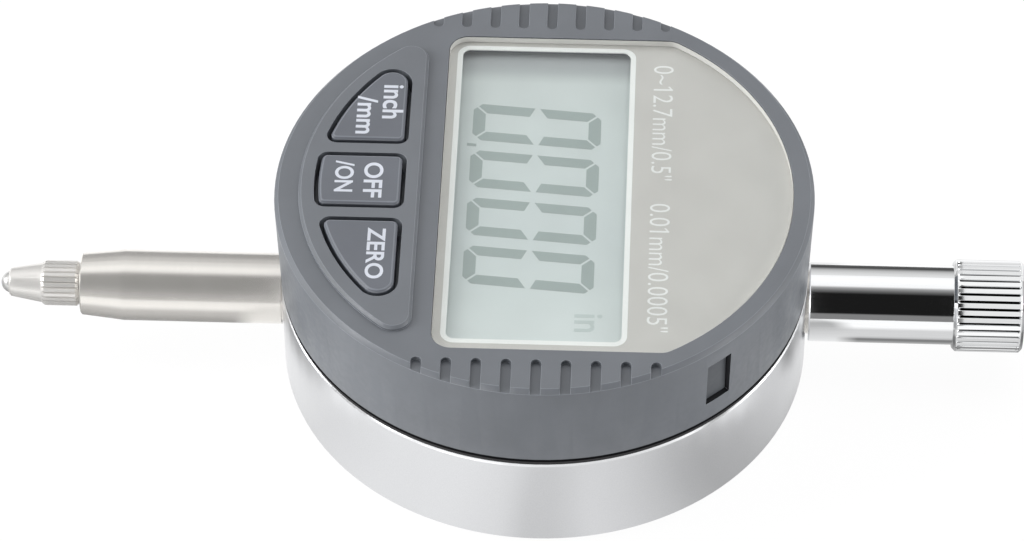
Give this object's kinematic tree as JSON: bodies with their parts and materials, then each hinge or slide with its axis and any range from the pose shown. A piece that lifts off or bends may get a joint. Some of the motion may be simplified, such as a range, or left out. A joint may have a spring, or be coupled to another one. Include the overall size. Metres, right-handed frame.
{
  "type": "digital indicator",
  "caption": "Round electronic plunger indicator with a grey plastic face, LCD window, keys, metal back, clamping stem with a sliding spindle and a capped dust tube.",
  "frame": {"origin": "centre of the flat back, on the case's axis", "axes": "+Z out of the display, -Y along the stem towards the contact point, +Y along the dust tube, +X towards the display's right-hand side; the spindle's axis is 8 mm above the back"},
  "size_m": [0.0597, 0.1152, 0.026],
  "materials": {
    "satin_aluminium": "satin turned and bead-blasted",
    "grey_abs": "satin moulded",
    "grey_keys": "satin moulded",
    "black_rubber": "matt",
    "grey_rubber": "matt",
    "clear_acrylic": "polished",
    "silver_print": "printed film",
    "white_print": "printed film",
    "lcd_glass": "polished",
    "reflector_film": "satin film",
    "white_abs": "satin moulded",
    "green_board": "solder resist",
    "black_resin": "moulded",
    "bright_steel": "bright",
    "brass_strip": "nickel-flashed",
    "brass_bush": "turned",
    "satin_steel": "ground satin",
    "carbide": "polished",
    "black_steel": "blackened",
    "scale_glass": "coated glass",
    "bright_chrome": "mirror"
  },
  "bodies": {
    "case": {"rear_housing": "satin_aluminium", "back_cover": "satin_aluminium", "front_housing": "grey_abs", "case_seal": "black_rubber", "battery_seal": "black_rubber", "contact_strips": "black_rubber", "key_mat": "grey_rubber", "display_lens": "clear_acrylic", "face_mask": "silver_print", "window_frame": "white_print", "lcd_front_glass": "lcd_glass", "lcd_rear_glass": "lcd_glass", "lcd_reflector": "reflector_film", "lcd_holder": "white_abs", "main_board": "green_board", "reader_board": "green_board", "measuring_chip": "black_resin", "quartz_crystal": "bright_steel", "port_socket": "black_resin", "battery_holder": "black_resin", "battery_cell": "bright_steel", "battery_contact": "brass_strip", "outer_bush": "brass_bush", "inner_bush": "brass_bush", "upper_bush": "satin_steel", "stem": "satin_steel", "guide_rail": "satin_steel", "return_spring": "bright_steel", "dust_tube": "bright_chrome", "cover_screws": "bright_steel", "housing_screws": "bright_steel"},
    "spindle": {"spindle": "satin_steel", "contact_point": "satin_steel", "contact_ball": "carbide", "carriage": "brass_bush", "carriage_screw": "black_steel", "guide_pin": "satin_steel", "scale_plate": "scale_glass"},
    "inch_mm_key": {"inch_mm_button": "grey_keys"},
    "power_key": {"power_button": "grey_keys"},
    "zero_key": {"zero_button": "grey_keys"},
    "tube_cap": {"dust_cap": "bright_chrome"},
    "battery_door": {"battery_lid": "satin_aluminium"},
    "port_cover": {"port_plug": "grey_rubber"}
  },
  "joints": [
    {"name": "spindle_slide", "type": "slide", "parent": "case", "child": "spindle", "axis": [0, -1, 0], "range_m": [0, 0.0127], "stiffness_N_per_m": 47, "springref_m": 0.032, "deforming": ["return_spring"]},
    {"name": "inch_mm_press", "type": "slide", "parent": "case", "child": "inch_mm_key", "axis": [0, 0, -1], "range_m": [0, 0.0005], "stiffness_N_per_m": 2000, "springref_m": -0.0005},
    {"name": "power_press", "type": "slide", "parent": "case", "child": "power_key", "axis": [0, 0, -1], "range_m": [0, 0.0005], "stiffness_N_per_m": 2000, "springref_m": -0.0005},
    {"name": "zero_press", "type": "slide", "parent": "case", "child": "zero_key", "axis": [0, 0, -1], "range_m": [0, 0.0005], "stiffness_N_per_m": 2000, "springref_m": -0.0005},
    {"name": "cap_pull", "type": "slide", "parent": "case", "child": "tube_cap", "axis": [0, 1, 0], "range_m": [0, 0.01]},
    {"name": "battery_lid_turn", "type": "hinge", "parent": "case", "child": "battery_door", "pos_m": [-0.0153, 0, 0.0007], "axis": [0, 0, -1], "range_deg": [0, 60]},
    {"name": "port_plug_pull", "type": "slide", "parent": "case", "child": "port_cover", "axis": [0.749, 0.6626, 0], "range_m": [0, 0.005]}
  ]
}
